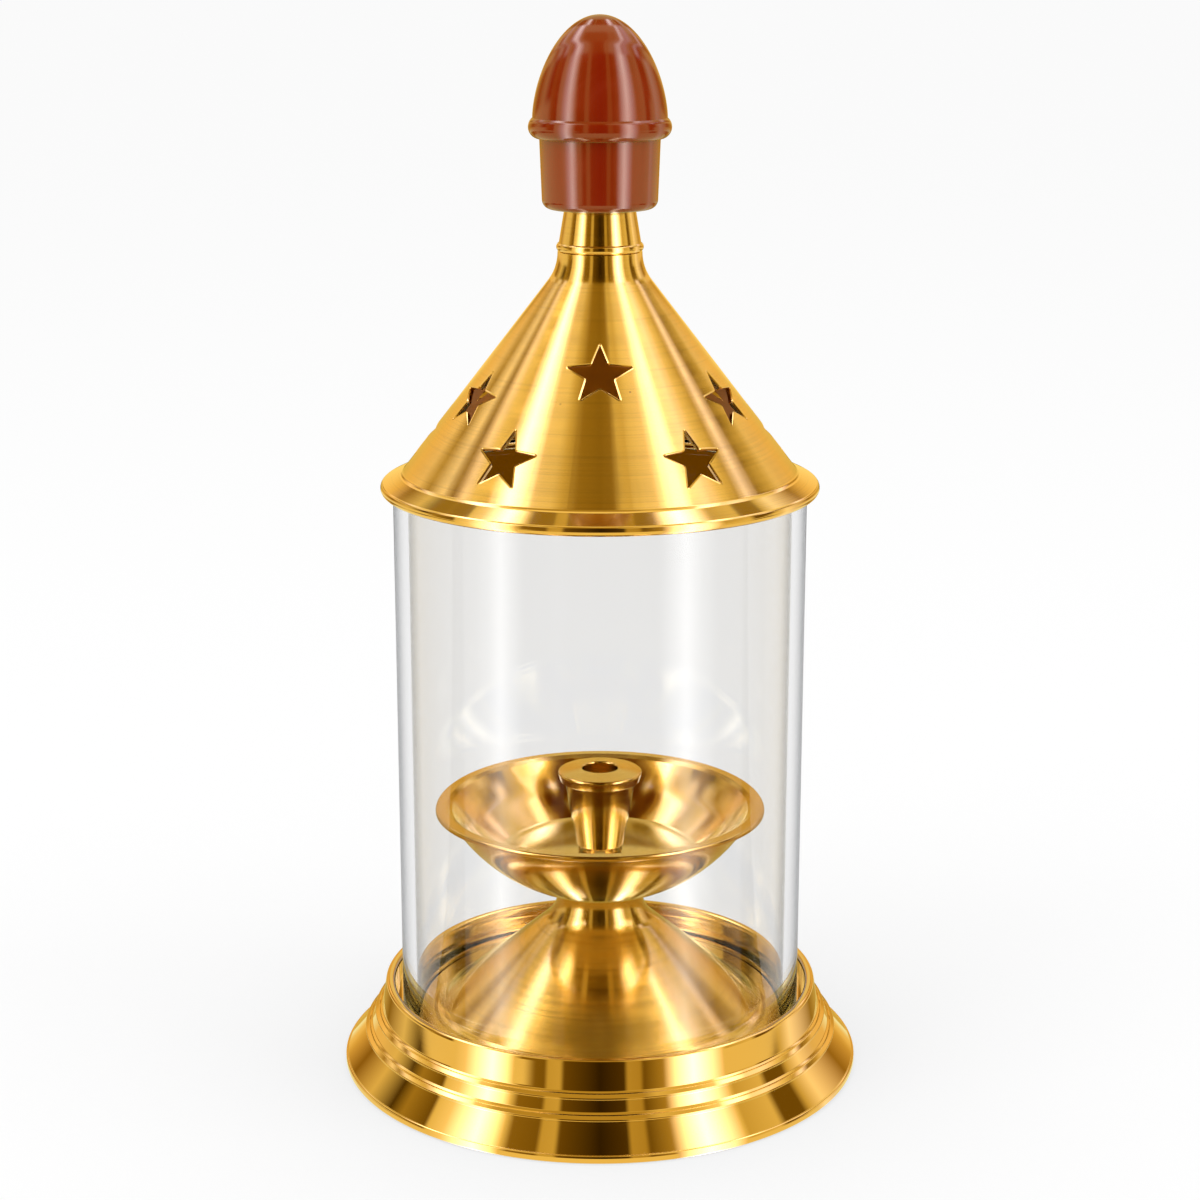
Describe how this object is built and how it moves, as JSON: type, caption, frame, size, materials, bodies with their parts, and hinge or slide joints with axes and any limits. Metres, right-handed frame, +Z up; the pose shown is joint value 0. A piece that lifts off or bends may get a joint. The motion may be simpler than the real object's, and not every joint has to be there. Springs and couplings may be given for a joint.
{
  "type": "akhand diya oil lamp",
  "caption": "Brass oil lamp with a stepped base, oil bowl on a cone, lift-out wick holder, clear glass chimney and a star-pierced lid with an acorn knob.",
  "frame": {"origin": "middle of the round foot, on the surface the lamp stands on", "axes": "+Z up along the lamp's axis, -Y towards the side that the picture shows, +X to its right"},
  "size_m": [0.1036, 0.1036, 0.2067],
  "materials": {
    "polished_brass": "turned and polished, lacquered",
    "brushed_brass": "spun, with fine lathe lines round the axis",
    "clear_glass": "clear drawn tube with fire-polished ends",
    "moulded_knob": "glossy red-brown moulding",
    "plated_steel": "zinc plated"
  },
  "bodies": {
    "base": {"base_skirt": "polished_brass", "pedestal_cone": "brushed_brass", "pedestal_washer": "plated_steel", "pedestal_nut": "plated_steel", "bowl_stud": "plated_steel", "oil_bowl": "polished_brass"},
    "wick": {"wick_holder": "polished_brass"},
    "chimney": {"glass_chimney": "clear_glass"},
    "lid": {"lid_cone": "brushed_brass", "lid_ferrule": "polished_brass", "knob_screw": "plated_steel", "knob_washer": "plated_steel", "knob_insert": "polished_brass", "knob": "moulded_knob"}
  },
  "joints": [
    {"name": "chimney_lift", "type": "slide", "parent": "base", "child": "chimney", "axis": [0, 0, 1], "range_m": [0, 0.06]},
    {"name": "lid_lift", "type": "slide", "parent": "chimney", "child": "lid", "axis": [0, 0, 1], "range_m": [0, 0.08]},
    {"name": "wick_holder_lift", "type": "slide", "parent": "base", "child": "wick", "axis": [0, 0, 1], "range_m": [0, 0.03]}
  ]
}
